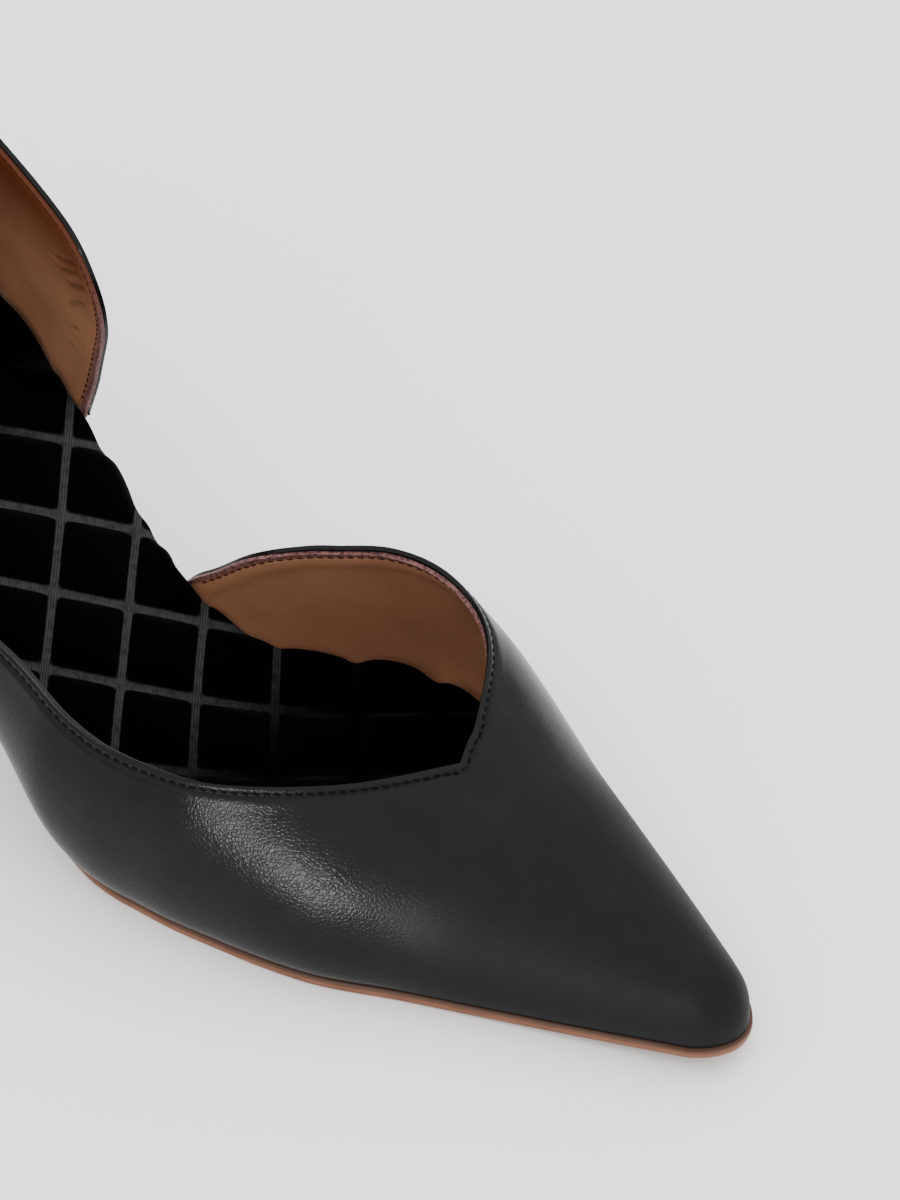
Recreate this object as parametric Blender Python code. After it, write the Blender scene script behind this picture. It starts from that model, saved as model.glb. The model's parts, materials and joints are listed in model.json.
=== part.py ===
"""A right-foot d'Orsay pump with a pointed toe, a V throat and a slim covered heel.

Metres, +Z up, +X towards the toe, +Y towards the inner side of the foot.
The origin is the middle of the heel tip's flat underside, on the floor.
A station is a share of LENGTH, 0 at the back of the heel and 1 at the toe tip.
"""

from collections import namedtuple
from math import radians

import bmesh
import bpy
import numpy as np

# Driving sizes of the last
LENGTH = 0.2590
BALL_WIDTH = 0.0792
HEEL_RISE = 0.0585
TOE_SPRING = 0.0040
INSTEP = 0.0640
COUNTER_HEIGHT = 0.0560

# Thicknesses and clearances
WALL = 0.0018
SOLE_THICKNESS = 0.0030
INSOLE_THICKNESS = 0.0036
GAP = 0.00035
INSOLE_SIDE_GAP = 0.0005

# Edges of the sole and insole against the foot of the upper
SOLE_MARGIN = 0.0008
WAIST_TUCK = 0.0022
SOLE_EDGE_ROUND = 0.0009
INSOLE_EDGE_ROUND = 0.0010
INSOLE_TOE_CLEARANCE = 0.0045
OPEN_EDGE_INSET = 0.0010

# Heel and its tip
HEEL_SETBACK = 0.0240
SEAT_LENGTH = 0.0500
SEAT_INSET = 0.0005
TIP_LENGTH = 0.0140
TIP_WIDTH = 0.0125
TIP_HEIGHT = 0.0055

# Places along the shoe, as stations
TREAD_START = 0.580
TREAD_END = 0.750
HEEL_ROUND = 0.118
TOE_ROUND = 0.025
NOSE_ROUND = 0.042
END_TURN = 0.100
THROAT = 0.747
OUTER_TAIL = 0.300
INNER_TAIL = 0.440
OUTER_FRONT = 0.222
INNER_FRONT = 0.318
OPEN_EDGE_RAMP = 0.020
TUCK_START = 0.500
TUCK_END = 0.570

# Mesh density, and how strongly columns crowd towards the toe and the heel's back
OUTER_ROWS = 18
INNER_ROWS = 16
WING_COLUMNS = 20
TOE_COLUMNS = 22
QUARTER_COLUMNS = 30
QUARTER_ROWS = 7
SOLE_COLUMNS = 70
HEEL_POINTS = 14
HEEL_LEVELS = 12
TOE_CROWDING = 1.7
SOLE_CROWDING = 1.35
HEEL_CROWDING = 1.6
WELD_DISTANCE = 2e-6
SMOOTH_ANGLE = 38

# Finishes
BLACK = (0.012, 0.012, 0.013)
TAN = (0.36, 0.17, 0.10)
VELVET_BLACK = (0.006, 0.006, 0.007)
RUBBER_BLACK = (0.015, 0.015, 0.015)
LEATHER_ROUGHNESS = 0.38
LEATHER_COAT = 0.15
SOLE_ROUGHNESS = 0.5
VELVET_ROUGHNESS = 0.9
RUBBER_ROUGHNESS = 0.6

HEEL_BACK = -HEEL_SETBACK
FOOT_LEVEL = SOLE_THICKNESS + GAP
SEAT_END = SEAT_LENGTH / LENGTH

# Outline of the last's bottom: shares of BALL_WIDTH
Plan = namedtuple("Plan", "station centre half_width")
PLAN = [
    Plan(0.000, 0.000, 0.305),
    Plan(0.115, 0.000, 0.316),
    Plan(0.215, -0.060, 0.306),
    Plan(0.325, -0.136, 0.308),
    Plan(0.387, -0.190, 0.306),
    Plan(0.445, -0.218, 0.325),
    Plan(0.491, -0.214, 0.370),
    Plan(0.541, -0.162, 0.441),
    Plan(0.580, -0.108, 0.481),
    Plan(0.619, -0.076, 0.493),
    Plan(0.665, -0.050, 0.482),
    Plan(0.723, -0.028, 0.444),
    Plan(0.789, 0.001, 0.357),
    Plan(0.855, 0.021, 0.269),
    Plan(0.921, 0.036, 0.180),
    Plan(0.973, 0.043, 0.107),
    Plan(1.000, 0.046, 0.070),
]

# Height of the sole's underside behind the tread: shares of HEEL_RISE
Profile = namedtuple("Profile", "station rise")
PROFILE = [
    Profile(0.000, 1.000),
    Profile(0.097, 0.912),
    Profile(0.155, 0.861),
    Profile(0.213, 0.800),
    Profile(0.259, 0.733),
    Profile(0.297, 0.663),
    Profile(0.335, 0.579),
    Profile(0.368, 0.494),
    Profile(0.426, 0.323),
    Profile(0.495, 0.116),
    Profile(0.522, 0.050),
    Profile(0.549, 0.014),
    Profile(TREAD_START, 0.000),
    Profile(TREAD_END, 0.000),
]

# Sections of the last above its bottom: height is a share of INSTEP, the ridge's
# distance from the plan's centre and the swell of each side are shares of
# BALL_WIDTH, and fullness is the power of the round, 2 for an ellipse
Section = namedtuple("Section", "station height ridge outer_full inner_full outer_swell inner_swell")
SECTIONS = [
    Section(0.300, 0.950, 0.137, 2.1, 2.5, 0.050, 0.020),
    Section(0.450, 1.000, 0.258, 2.1, 2.5, 0.056, 0.020),
    Section(0.541, 0.930, 0.222, 2.3, 2.5, 0.045, 0.024),
    Section(0.619, 0.820, 0.146, 2.5, 2.7, 0.036, 0.036),
    Section(0.680, 0.680, 0.110, 2.4, 2.6, 0.030, 0.028),
    Section(0.747, 0.528, 0.073, 2.3, 2.3, 0.026, 0.012),
    Section(0.789, 0.447, 0.049, 2.3, 2.2, 0.020, 0.010),
    Section(0.855, 0.350, 0.025, 2.3, 2.2, 0.014, 0.010),
    Section(0.921, 0.262, 0.008, 2.2, 2.2, 0.008, 0.008),
    Section(0.970, 0.205, 0.001, 2.2, 2.2, 0.004, 0.006),
    Section(1.000, 0.170, 0.000, 2.2, 2.2, 0.000, 0.000),
]

# Topline of the vamp, from the tail of each side to the throat. Girth runs round
# a section: -1 at the outer sole line, 0 on the ridge and 1 at the inner sole line
Topline = namedtuple("Topline", "station girth")
OUTER_TOPLINE = [
    Topline(OUTER_TAIL, -1.000),
    Topline(0.345, -0.905),
    Topline(0.395, -0.815),
    Topline(0.447, -0.735),
    Topline(0.500, -0.675),
    Topline(0.548, -0.650),
    Topline(0.590, -0.625),
    Topline(0.627, -0.580),
    Topline(0.657, -0.505),
    Topline(0.683, -0.420),
    Topline(0.706, -0.330),
    Topline(0.726, -0.225),
    Topline(THROAT, -0.070),
]
INNER_TOPLINE = [
    Topline(INNER_TAIL, 1.000),
    Topline(0.460, 0.948),
    Topline(0.484, 0.862),
    Topline(0.514, 0.757),
    Topline(0.540, 0.690),
    Topline(0.566, 0.640),
    Topline(0.600, 0.595),
    Topline(0.631, 0.550),
    Topline(0.656, 0.490),
    Topline(0.680, 0.395),
    Topline(0.703, 0.270),
    Topline(0.727, 0.085),
    Topline(THROAT, -0.070),
]

# Rim of the heel quarter, from the back (0) along the topline, over the front
# corner (0.66) and down the front edge to its foot (1): foot and along are shares
# of the side's front station, height a share of COUNTER_HEIGHT above the sole line
Rim = namedtuple("Rim", "station foot along height")
RIM = [
    Rim(0.00, 0.000, 0.000, 1.000),
    Rim(0.20, 0.250, 0.270, 0.925),
    Rim(0.45, 0.600, 0.700, 0.865),
    Rim(0.55, 0.750, 0.900, 0.903),
    Rim(0.61, 0.820, 1.020, 0.912),
    Rim(0.66, 0.860, 1.093, 0.865),
    Rim(0.70, 0.890, 1.122, 0.760),
    Rim(0.76, 0.920, 1.122, 0.620),
    Rim(0.87, 0.960, 1.070, 0.345),
    Rim(1.00, 1.000, 1.000, 0.000),
]

# Lean of the quarter's wall by height, both as shares of COUNTER_HEIGHT
Lean = namedtuple("Lean", "station out")
LEAN = [
    Lean(0.00, 0.000),
    Lean(0.20, 0.020),
    Lean(0.40, 0.020),
    Lean(0.60, -0.004),
    Lean(0.80, -0.045),
    Lean(1.00, -0.085),
]

# Flare of the heel from its tip (0) to the seat (1): each column is the share of
# the way from the tip's size to the seat's
Flare = namedtuple("Flare", "station back breast width")
FLARE = [
    Flare(0.00, 0.00, 0.00, 0.00),
    Flare(0.20, 0.04, 0.01, 0.02),
    Flare(0.45, 0.16, 0.07, 0.10),
    Flare(0.68, 0.42, 0.27, 0.36),
    Flare(0.86, 0.76, 0.64, 0.76),
    Flare(1.00, 1.00, 1.00, 1.00),
]

# Share of the heel section's length that its round back takes
BACK_TURN = 0.60

# Power of the round ends of an outline, where 2 makes an ellipse
ROUND_POWER = 2.1

# Power that sets how low on the wall the swell is widest
SWELL_LOWNESS = 0.50

# Share of an edge's radius at which its round is broken into two flats
ROUND_BREAK = 0.3


def read(rows, column, station):
    """One column at a station, on a smooth curve through the rows that never overshoots."""
    knots = np.array([row.station for row in rows])
    values = np.array([getattr(row, column) for row in rows])
    chords = np.diff(values) / np.diff(knots)
    slopes = np.zeros(len(knots))
    slopes[0] = chords[0]
    slopes[-1] = chords[-1]
    for i in range(1, len(knots) - 1):
        if chords[i - 1] * chords[i] > 0:
            slopes[i] = 2 / (1 / chords[i - 1] + 1 / chords[i])
    station = np.clip(station, knots[0], knots[-1])
    i = np.clip(np.searchsorted(knots, station, side="right") - 1, 0, len(chords) - 1)
    span = knots[i + 1] - knots[i]
    q = (station - knots[i]) / span
    start = values[i] * (1 + 2 * q) * (1 - q) ** 2 + slopes[i] * span * q * (1 - q) ** 2
    end = values[i + 1] * (3 - 2 * q) * q ** 2 + slopes[i + 1] * span * (q - 1) * q ** 2
    return float(start + end)


def ramp(q):
    """Soft step from 0 to 1 while q runs from 0 to 1."""
    q = min(max(q, 0.0), 1.0)
    return q * q * (3 - 2 * q)


def closing(q):
    """Round end of an outline: 0 at its tip, 1 from q = 1 on."""
    q = min(max(q, 0.0), 1.0)
    return (1 - (1 - q) ** ROUND_POWER) ** (1 / ROUND_POWER)


def outline(station, offset, toe_offset=None):
    """x and both y values of the last's bottom edge, moved outwards by an offset."""
    if toe_offset is None:
        toe_offset = offset
    toe = max(0.0, (station - 1 + END_TURN) / END_TURN) ** 2
    heel = max(0.0, (END_TURN - station) / END_TURN) ** 2
    x = HEEL_BACK + station * LENGTH + toe_offset * toe - offset * heel
    centre = BALL_WIDTH * read(PLAN, "centre", station)
    half = BALL_WIDTH * read(PLAN, "half_width", station) + offset
    half *= closing(station / HEEL_ROUND) * closing((1 - station) / TOE_ROUND)
    return x, centre - half, centre + half


def rise(x):
    """Height of the sole's underside at x."""
    station = (x - HEEL_BACK) / LENGTH
    spring = max(0.0, station - TREAD_END) / (1 - TREAD_END)
    return HEEL_RISE * read(PROFILE, "rise", station) + TOE_SPRING * spring ** 2


def last_point(station, girth, depth):
    """Point on the vamp's wall, at a depth of 0 outside and WALL inside."""
    x, outer, inner = outline(station, -depth)
    side, edge = ("inner", inner) if girth > 0 else ("outer", outer)
    sign = 1 if girth > 0 else -1
    ridge = (outer + inner) / 2
    ridge += BALL_WIDTH * read(SECTIONS, "ridge", station) * closing((1 - station) / TOE_ROUND)
    power = 2 / read(SECTIONS, side + "_full", station)
    swell = BALL_WIDTH * read(SECTIONS, side + "_swell", station)
    height = INSTEP * read(SECTIONS, "height", station) - depth
    height *= closing((1 - station) / NOSE_ROUND)
    angle = abs(girth) * np.pi / 2
    up = max(0.0, np.cos(angle)) ** power
    across = np.sin(angle) ** power
    y = ridge + (edge - ridge) * across + sign * swell * np.sin(np.pi * up ** SWELL_LOWNESS)
    return x, y, FOOT_LEVEL + rise(x) + height * up


def quarter_point(side, along, up, depth):
    """Point on the quarter's wall: along 0 at the back and 1 at its front foot, up 0 at the sole."""
    front = INNER_FRONT if side == "inner" else OUTER_FRONT
    foot = front * read(RIM, "foot", along)
    station = foot + (front * read(RIM, "along", along) - foot) * up
    height = read(RIM, "height", along) * up
    offset = COUNTER_HEIGHT * read(LEAN, "out", height) - depth
    x, outer, inner = outline(station, offset)
    foot_z = FOOT_LEVEL + rise(HEEL_BACK + foot * LENGTH)
    return x, inner if side == "inner" else outer, foot_z + COUNTER_HEIGHT * height


def add_sheet(mesh, grid):
    """Add a sheet of faces through a grid of points."""
    corners = [[mesh.verts.new(point) for point in row] for row in grid]
    for low, high in zip(corners, corners[1:]):
        for i in range(len(low) - 1):
            mesh.faces.new((low[i], low[i + 1], high[i + 1], high[i]))


def add_wall(mesh, outside, inside):
    """Add the two faces of a wall and the strips along its first and last columns."""
    add_sheet(mesh, outside)
    add_sheet(mesh, inside)
    for column in (0, -1):
        add_sheet(mesh, [[row[column] for row in grid] for grid in (outside, inside)])


def finish(name, mesh, cover):
    """Close the mesh, turn its faces outwards and put it in the scene as a named object."""
    bmesh.ops.remove_doubles(mesh, verts=mesh.verts, dist=WELD_DISTANCE)
    bmesh.ops.recalc_face_normals(mesh, faces=mesh.faces)
    data = bpy.data.meshes.new(name)
    mesh.to_mesh(data)
    mesh.free()
    data.materials.append(cover)
    data.shade_smooth()
    data.set_sharp_from_angle(angle=radians(SMOOTH_ANGLE))
    piece = bpy.data.objects.new(name, data)
    bpy.context.scene.collection.objects.link(piece)


def finish_material(name, colour, roughness, coat=0.0):
    """Plain finish of one sub-part."""
    made = bpy.data.materials.new(name)
    made.use_nodes = True
    shader = made.node_tree.nodes["Principled BSDF"]
    shader.inputs["Base Color"].default_value = (*colour, 1.0)
    shader.inputs["Roughness"].default_value = roughness
    shader.inputs["Metallic"].default_value = 0.0
    shader.inputs["Coat Weight"].default_value = coat
    return made


def spread(start, end, count, power=1.0):
    """Stations from start to end, closer together near the end when power is over 1."""
    return [end - (end - start) * (1 - i / count) ** power for i in range(count + 1)]


def wing(topline, edge_girth, tail, rows, depth):
    """Wall of one side of the vamp behind the throat, from the sole line up to the topline."""
    grid = []
    for station in spread(tail, THROAT, WING_COLUMNS):
        top = read(topline, "girth", station)
        girths = [edge_girth + (top - edge_girth) * i / rows for i in range(rows + 1)]
        grid.append([last_point(station, girth, depth) for girth in girths])
    return grid


def toe_cover(depth):
    """Wall of the vamp in front of the throat, from sole line to sole line."""
    throat = OUTER_TOPLINE[-1].girth
    girths = [-1 + (throat + 1) * i / OUTER_ROWS for i in range(OUTER_ROWS)]
    girths += [throat + (1 - throat) * i / INNER_ROWS for i in range(INNER_ROWS + 1)]
    stations = spread(THROAT, 1.0, TOE_COLUMNS, TOE_CROWDING)
    return [[last_point(station, girth, depth) for girth in girths] for station in stations]


def make_vamp():
    """Pointed front of the upper, hollow and open at the top, the sides and underneath."""
    mesh = bmesh.new()
    add_wall(mesh, toe_cover(0), toe_cover(WALL))
    for topline, edge_girth, tail, rows in (
        (OUTER_TOPLINE, -1, OUTER_TAIL, OUTER_ROWS),
        (INNER_TOPLINE, 1, INNER_TAIL, INNER_ROWS),
    ):
        outside = wing(topline, edge_girth, tail, rows, 0)
        inside = wing(topline, edge_girth, tail, rows, WALL)
        add_wall(mesh, outside, inside)
    cover = finish_material("black_leather", BLACK, LEATHER_ROUGHNESS, LEATHER_COAT)
    finish("vamp", mesh, cover)


def make_quarter():
    """Heel part of the upper, one wall from the outer front round the back to the inner front."""
    def grid(depth):
        columns = []
        for i in range(-QUARTER_COLUMNS, QUARTER_COLUMNS + 1):
            share = abs(i) / QUARTER_COLUMNS
            along = share ** 2 * (2 - share)
            side = "inner" if i > 0 else "outer"
            ups = [row / QUARTER_ROWS for row in range(QUARTER_ROWS + 1)]
            columns.append([quarter_point(side, along, up, depth) for up in ups])
        return columns

    mesh = bmesh.new()
    add_wall(mesh, grid(0), grid(WALL))
    cover = finish_material("quarter_leather", BLACK, LEATHER_ROUGHNESS, LEATHER_COAT)
    finish("quarter", mesh, cover)


def sole_margin(station):
    """How far the sole's edge stands out from the upper: a little in front, tucked under behind."""
    tucked = ramp((TUCK_END - station) / (TUCK_END - TUCK_START))
    return SOLE_MARGIN - (SOLE_MARGIN + WAIST_TUCK) * tucked


def make_outsole():
    """Leather sole from the heel's breast to the toe tip, with rounded lower edges."""
    def point(station, side, offset, lift):
        x, outer, inner = outline(station, offset)
        return x, inner if side == "inner" else outer, rise(x) + lift

    def ring(station):
        margin = sole_margin(station)
        steps = [
            (margin, SOLE_THICKNESS),
            (margin, SOLE_EDGE_ROUND),
            (margin - ROUND_BREAK * SOLE_EDGE_ROUND, ROUND_BREAK * SOLE_EDGE_ROUND),
            (margin - SOLE_EDGE_ROUND, 0),
        ]
        down = [point(station, "outer", offset, lift) for offset, lift in steps]
        up = [point(station, "inner", offset, lift) for offset, lift in reversed(steps)]
        return down + up + down[:1]

    mesh = bmesh.new()
    start = SEAT_END + GAP / LENGTH
    stations = spread(start, 1.0, SOLE_COLUMNS, SOLE_CROWDING)
    add_sheet(mesh, [ring(station) for station in stations])
    # The flat rear end, against the heel's breast, is the only hole left to close
    bmesh.ops.remove_doubles(mesh, verts=mesh.verts, dist=WELD_DISTANCE)
    bmesh.ops.holes_fill(mesh, edges=[edge for edge in mesh.edges if edge.is_boundary])
    finish("outsole", mesh, finish_material("sole_leather", TAN, SOLE_ROUGHNESS))


def insole_offset(station, side):
    """Offset of the insole's edge: inside the walls, and out to the sole line where a side is open."""
    front, tail = (INNER_FRONT, INNER_TAIL) if side == "inner" else (OUTER_FRONT, OUTER_TAIL)
    # The quarter's front edge leans forward, so the insole widens a little ahead of its foot
    start = front * RIM[-2].along
    shown = ramp((station - start) / OPEN_EDGE_RAMP) * ramp((tail - station) / OPEN_EDGE_RAMP)
    covered = WALL + INSOLE_SIDE_GAP
    return -covered + (covered - OPEN_EDGE_INSET) * shown


def make_insole():
    """Padded insole inside the walls, showing its edge in the two open sides."""
    def point(station, side, inset, lift):
        offset = insole_offset(station, side) - inset
        x, outer, inner = outline(station, offset, -INSOLE_TOE_CLEARANCE - inset)
        return x, inner if side == "inner" else outer, rise(x) + lift

    top = FOOT_LEVEL + INSOLE_THICKNESS
    steps = [
        (INSOLE_EDGE_ROUND, top),
        (ROUND_BREAK * INSOLE_EDGE_ROUND, top - ROUND_BREAK * INSOLE_EDGE_ROUND),
        (0, top - INSOLE_EDGE_ROUND),
        (0, FOOT_LEVEL),
    ]

    def ring(station):
        down = [point(station, "outer", inset, lift) for inset, lift in steps]
        up = [point(station, "inner", inset, lift) for inset, lift in reversed(steps)]
        return down + up + down[:1]

    mesh = bmesh.new()
    front_half = spread(0.5, 1.0, SOLE_COLUMNS // 2, SOLE_CROWDING)
    back_half = [1 - station for station in reversed(front_half)]
    add_sheet(mesh, [ring(station) for station in back_half + front_half[1:]])
    finish("insole", mesh, finish_material("black_velvet", VELVET_BLACK, VELVET_ROUGHNESS))


def add_stack(mesh, level_points, levels):
    """Add a solid from level 0 to 1: level_points gives both sides' points at a level and share."""
    shares = [(i / HEEL_POINTS) ** HEEL_CROWDING for i in range(HEEL_POINTS + 1)]
    rings = []
    for i in range(levels + 1):
        pairs = [level_points(i / levels, share) for share in shares]
        ring = [outer for outer, inner in pairs] + [inner for outer, inner in reversed(pairs)]
        rings.append(ring + ring[:1])
        if i in (0, levels):
            add_sheet(mesh, pairs)
    add_sheet(mesh, rings)


def heel_points(level, share):
    """Outer and inner point of the heel: level 0 at the tip, share 0 at the back of a section."""
    seat_back = HEEL_BACK + SEAT_INSET
    seat_breast = HEEL_BACK + SEAT_LENGTH
    tip_end = TIP_LENGTH / 2
    back = -tip_end + (seat_back + tip_end) * read(FLARE, "back", level)
    breast = tip_end + (seat_breast - tip_end) * read(FLARE, "breast", level)
    x = back + (breast - back) * share
    width = read(FLARE, "width", level)
    station = (SEAT_INSET + (SEAT_LENGTH - SEAT_INSET) * share) / LENGTH
    seat_half = BALL_WIDTH * read(PLAN, "half_width", station) - SEAT_INSET
    half = TIP_WIDTH / 2 + (seat_half - TIP_WIDTH / 2) * width
    half *= closing(share / BACK_TURN)
    centre = BALL_WIDTH * read(PLAN, "centre", station) * width
    foot = TIP_HEIGHT + GAP
    z = foot + (rise(x) + SOLE_THICKNESS - foot) * level
    return (x, centre - half, z), (x, centre + half, z)


def tip_points(level, share):
    """Outer and inner point of the heel tip."""
    x = TIP_LENGTH * (share - 0.5)
    half = TIP_WIDTH / 2 * closing(share / BACK_TURN)
    return (x, -half, TIP_HEIGHT * level), (x, half, TIP_HEIGHT * level)


def make_heel():
    """Slim leather-covered heel, flaring from its tip up to the seat under the quarter."""
    mesh = bmesh.new()
    add_stack(mesh, heel_points, HEEL_LEVELS)
    cover = finish_material("heel_leather", BLACK, LEATHER_ROUGHNESS, LEATHER_COAT)
    finish("heel", mesh, cover)


def make_heel_tip():
    """Hard rubber tip under the heel, flat on the floor."""
    mesh = bmesh.new()
    add_stack(mesh, tip_points, 1)
    finish("heel_tip", mesh, finish_material("tip_rubber", RUBBER_BLACK, RUBBER_ROUGHNESS))


def main():
    for old in list(bpy.data.objects):
        bpy.data.objects.remove(old)
    make_heel_tip()
    make_heel()
    make_outsole()
    make_insole()
    make_quarter()
    make_vamp()


main()
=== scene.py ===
"""Dressed right-foot d'Orsay pump: grained black leather upper with a tan leather lining,
quilted velvet insole, leather outsole and a slim covered heel.

Metres, +X towards the toe, +Y towards the inner side of the foot, +Z up. The origin is the
middle of the heel tip's flat underside. A station is a share of LENGTH from heel to toe.
"""

import json
from collections import namedtuple
from math import cos, radians, sin

import bmesh
import bpy
import numpy as np
from bpy.props import FloatProperty, FloatVectorProperty, PointerProperty
from bpy.types import Operator, Panel, PropertyGroup
from mathutils import Matrix, Quaternion, Vector
from mathutils.bvhtree import BVHTree
from mathutils.kdtree import KDTree

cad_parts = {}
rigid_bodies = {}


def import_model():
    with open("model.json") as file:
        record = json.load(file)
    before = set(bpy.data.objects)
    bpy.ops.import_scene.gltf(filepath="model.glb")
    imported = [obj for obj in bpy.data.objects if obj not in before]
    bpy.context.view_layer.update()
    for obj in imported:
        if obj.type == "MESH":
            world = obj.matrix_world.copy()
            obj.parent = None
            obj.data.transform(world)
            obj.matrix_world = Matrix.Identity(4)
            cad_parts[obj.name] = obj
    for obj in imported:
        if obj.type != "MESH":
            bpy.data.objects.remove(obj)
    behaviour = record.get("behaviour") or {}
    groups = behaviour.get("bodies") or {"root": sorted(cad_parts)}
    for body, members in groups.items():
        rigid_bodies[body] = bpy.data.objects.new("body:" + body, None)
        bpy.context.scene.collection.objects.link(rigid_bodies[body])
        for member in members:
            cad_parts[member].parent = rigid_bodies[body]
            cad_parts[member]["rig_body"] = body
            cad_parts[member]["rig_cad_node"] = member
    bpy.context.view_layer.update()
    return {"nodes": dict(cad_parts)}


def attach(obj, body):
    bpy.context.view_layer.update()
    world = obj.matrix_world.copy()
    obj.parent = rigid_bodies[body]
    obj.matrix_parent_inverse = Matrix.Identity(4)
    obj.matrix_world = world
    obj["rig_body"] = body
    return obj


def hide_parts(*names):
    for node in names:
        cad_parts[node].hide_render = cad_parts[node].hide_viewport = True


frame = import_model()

bl_info = {
    "name": "D'Orsay pump",
    "version": (1, 0, 0),
    "blender": (4, 5, 0),
    "location": "3D View > Sidebar > Pump",
    "description": "Dresses the pump's frame with leather, lining, stitching and a quilted insole",
    "category": "Object",
}

# Last of the shoe, as in the frame
LENGTH = 0.2590
BALL_WIDTH = 0.0792
HEEL_RISE = 0.0585
TOE_SPRING = 0.0040
INSTEP = 0.0640
COUNTER_HEIGHT = 0.0560
WALL = 0.0018
SOLE_THICKNESS = 0.0030
INSOLE_THICKNESS = 0.0036
GAP = 0.00035
HEEL_BACK = -0.0240
FOOT_LEVEL = SOLE_THICKNESS + GAP
TREAD_START = 0.580
TREAD_END = 0.750
HEEL_ROUND = 0.118
TOE_ROUND = 0.025
NOSE_ROUND = 0.042
END_TURN = 0.100
THROAT = 0.747
OUTER_TAIL = 0.300
INNER_TAIL = 0.440
OUTER_FRONT = 0.222
INNER_FRONT = 0.318
ROUND_POWER = 2.1
SWELL_LOWNESS = 0.50

Plan = namedtuple("Plan", "station centre half_width")
PLAN = [Plan(*row) for row in (
    (0.000, 0.000, 0.305), (0.115, 0.000, 0.316), (0.215, -0.060, 0.306), (0.325, -0.136, 0.308),
    (0.387, -0.190, 0.306), (0.445, -0.218, 0.325), (0.491, -0.214, 0.370), (0.541, -0.162, 0.441),
    (0.580, -0.108, 0.481), (0.619, -0.076, 0.493), (0.665, -0.050, 0.482), (0.723, -0.028, 0.444),
    (0.789, 0.001, 0.357), (0.855, 0.021, 0.269), (0.921, 0.036, 0.180), (0.973, 0.043, 0.107),
    (1.000, 0.046, 0.070),
)]
Profile = namedtuple("Profile", "station rise")
PROFILE = [Profile(*row) for row in (
    (0.000, 1.000), (0.097, 0.912), (0.155, 0.861), (0.213, 0.800), (0.259, 0.733), (0.297, 0.663),
    (0.335, 0.579), (0.368, 0.494), (0.426, 0.323), (0.495, 0.116), (0.522, 0.050), (0.549, 0.014),
    (TREAD_START, 0.000), (TREAD_END, 0.000),
)]
Section = namedtuple("Section", "station height ridge outer_full inner_full outer_swell inner_swell")
SECTIONS = [Section(*row) for row in (
    (0.300, 0.950, 0.137, 2.1, 2.5, 0.050, 0.020), (0.450, 1.000, 0.258, 2.1, 2.5, 0.056, 0.020),
    (0.541, 0.930, 0.222, 2.3, 2.5, 0.045, 0.024), (0.619, 0.820, 0.146, 2.5, 2.7, 0.036, 0.036),
    (0.680, 0.680, 0.110, 2.4, 2.6, 0.030, 0.028), (0.747, 0.528, 0.073, 2.3, 2.3, 0.026, 0.012),
    (0.789, 0.447, 0.049, 2.3, 2.2, 0.020, 0.010), (0.855, 0.350, 0.025, 2.3, 2.2, 0.014, 0.010),
    (0.921, 0.262, 0.008, 2.2, 2.2, 0.008, 0.008), (0.970, 0.205, 0.001, 2.2, 2.2, 0.004, 0.006),
    (1.000, 0.170, 0.000, 2.2, 2.2, 0.000, 0.000),
)]
Topline = namedtuple("Topline", "station girth")
OUTER_TOPLINE = [Topline(*row) for row in (
    (OUTER_TAIL, -1.000), (0.345, -0.905), (0.395, -0.815), (0.447, -0.735), (0.500, -0.675),
    (0.548, -0.650), (0.590, -0.625), (0.627, -0.580), (0.657, -0.505), (0.683, -0.420),
    (0.706, -0.330), (0.726, -0.225), (THROAT, -0.070),
)]
INNER_TOPLINE = [Topline(*row) for row in (
    (INNER_TAIL, 1.000), (0.460, 0.948), (0.484, 0.850), (0.514, 0.739), (0.540, 0.674), (0.566, 0.629),
    (0.600, 0.590), (0.631, 0.550), (0.656, 0.490), (0.680, 0.395), (0.703, 0.270), (0.727, 0.085),
    (THROAT, -0.070),
)]
Rim = namedtuple("Rim", "station foot along height")
RIM = [Rim(*row) for row in (
    (0.00, 0.000, 0.000, 1.000), (0.20, 0.250, 0.270, 0.925), (0.45, 0.600, 0.700, 0.865),
    (0.55, 0.750, 0.900, 0.903), (0.61, 0.820, 1.020, 0.912), (0.66, 0.860, 1.093, 0.865),
    (0.70, 0.890, 1.122, 0.760), (0.76, 0.920, 1.122, 0.620), (0.87, 0.960, 1.070, 0.345),
    (1.00, 1.000, 1.000, 0.000),
)]
Lean = namedtuple("Lean", "station out")
LEAN = [Lean(*row) for row in (
    (0.00, 0.000), (0.20, 0.020), (0.40, 0.020), (0.60, -0.004), (0.80, -0.045), (1.00, -0.085),
)]

# Distances of the mesh rows from a folded edge, close together over the bead and the groove.
# A column shorter than ROWS_LENGTH has them closer still.
EDGE_ROWS = np.array([0, 0.50, 0.75, 1.0, 1.2, 1.4, 1.6, 1.8, 2.0, 2.2, 2.5, 2.9, 3.4, 4.1, 5.0]) * 1e-3
ROWS_LENGTH = 0.012
WELD = 2e-6

# Fairing of the edges: samples along an edge, the kernel's reach and its widths in samples
FAIR_SAMPLES = 500
FAIR_REACH = 60
RIM_FAIRING = 20
TOPLINE_FAIRING = 18

# Foot of the vamp's leather: how far it comes down over the edge of the sole and turns in under it
TUCK_DROP = 0.0013
TUCK_IN = 0.0012
TUCK_SLOPE = 0.0001

# Rows of the toe: close ones behind the throat, then wider ones that close up at the tip
TOE_NEAR = 0.0050
TOE_STEP = 0.00045
TOE_ROWS = 66
TOE_POWER = 1.35

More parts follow.
